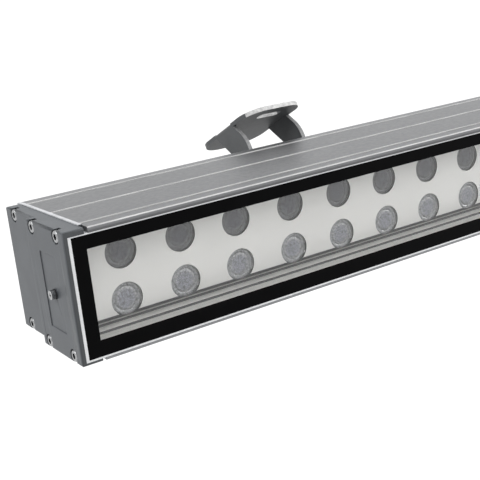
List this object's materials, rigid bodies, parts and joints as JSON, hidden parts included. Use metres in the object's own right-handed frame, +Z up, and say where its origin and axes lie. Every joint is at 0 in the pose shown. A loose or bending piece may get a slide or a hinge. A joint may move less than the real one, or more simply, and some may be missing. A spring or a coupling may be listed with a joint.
{
  "type": "linear floodlight",
  "caption": "Long rectangular LED floodlight with a glass front, rows of round lenses, cast end caps and adjustable slotted mounting brackets on its back.",
  "frame": {"origin": "centre of the housing's underside", "axes": "+X along the lamp, -Y towards the light's exit, +Z up"},
  "size_m": [1.0166, 0.1796, 0.1016],
  "materials": {
    "alu": "bead-blasted, anodised",
    "cast": "satin grey paint on die-cast metal",
    "steel": "polished stainless steel",
    "seal": "white silicone",
    "glass": "clear toughened",
    "print": "black ceramic print",
    "mirror": "polished sheet",
    "board": "white solder mask on metal core",
    "driver": "green laminate",
    "lens": "translucent",
    "holder": "white moulding",
    "led": "yellow phosphor under a clear dome",
    "dark": "moulded",
    "copper": "varnished winding",
    "lead": "insulated wire",
    "paint": "dark grey powder coat",
    "black_rubber": "black"
  },
  "bodies": {
    "lamp": {"housing_extrusion": "alu", "end_cap_left": "cast", "end_cap_right": "cast", "end_gasket_left": "seal", "end_gasket_right": "seal", "cap_screws_left": "steel", "cap_screws_right": "steel", "front_glass": "glass", "glass_border": "print", "glass_seal": "seal", "reflector_plate": "mirror", "reflector_posts": "steel", "post_screws": "steel", "led_board_1": "board", "led_board_2": "board", "led_board_3": "board", "led_board_4": "board", "led_board_5": "board", "board_links": "holder", "board_screws": "steel", "led_emitters": "led", "lens_holders_top": "holder", "lens_holders_bottom": "holder", "lenses_top": "lens", "lenses_bottom": "lens", "driver_board": "driver", "driver_spacers": "steel", "driver_screws": "steel", "driver_transformer": "dark", "driver_capacitors": "dark", "driver_choke": "copper", "driver_terminals": "driver", "led_feed_leads": "lead", "earth_screw": "steel", "earth_washer": "steel", "gland_body": "paint", "gland_washer": "black_rubber", "gland_locknut": "paint", "gland_seal": "black_rubber", "gland_nut": "paint"},
    "slider_left": {"foot_left": "cast", "rail_nuts_left": "steel", "foot_screws_left": "steel", "pivot_bolt_left": "steel", "pivot_washers_left": "steel", "pivot_nut_left": "steel"},
    "bracket_left": {"bracket_left": "paint"},
    "slider_right": {"foot_right": "cast", "rail_nuts_right": "steel", "foot_screws_right": "steel", "pivot_bolt_right": "steel", "pivot_washers_right": "steel", "pivot_nut_right": "steel"},
    "bracket_right": {"bracket_right": "paint"}
  },
  "joints": [
    {"name": "slide_left", "type": "slide", "parent": "lamp", "child": "slider_left", "axis": [1, 0, 0], "range_m": [-0.15, 0.2]},
    {"name": "tilt_left", "type": "hinge", "parent": "slider_left", "child": "bracket_left", "pos_m": [-0.283, 0.066, 0.0481], "axis": [1, 0, 0], "range_deg": [-110, 20]},
    {"name": "slide_right", "type": "slide", "parent": "lamp", "child": "slider_right", "axis": [-1, 0, 0], "range_m": [-0.15, 0.2]},
    {"name": "tilt_right", "type": "hinge", "parent": "slider_right", "child": "bracket_right", "pos_m": [0.283, 0.066, 0.0481], "axis": [1, 0, 0], "range_deg": [-110, 20]}
  ]
}
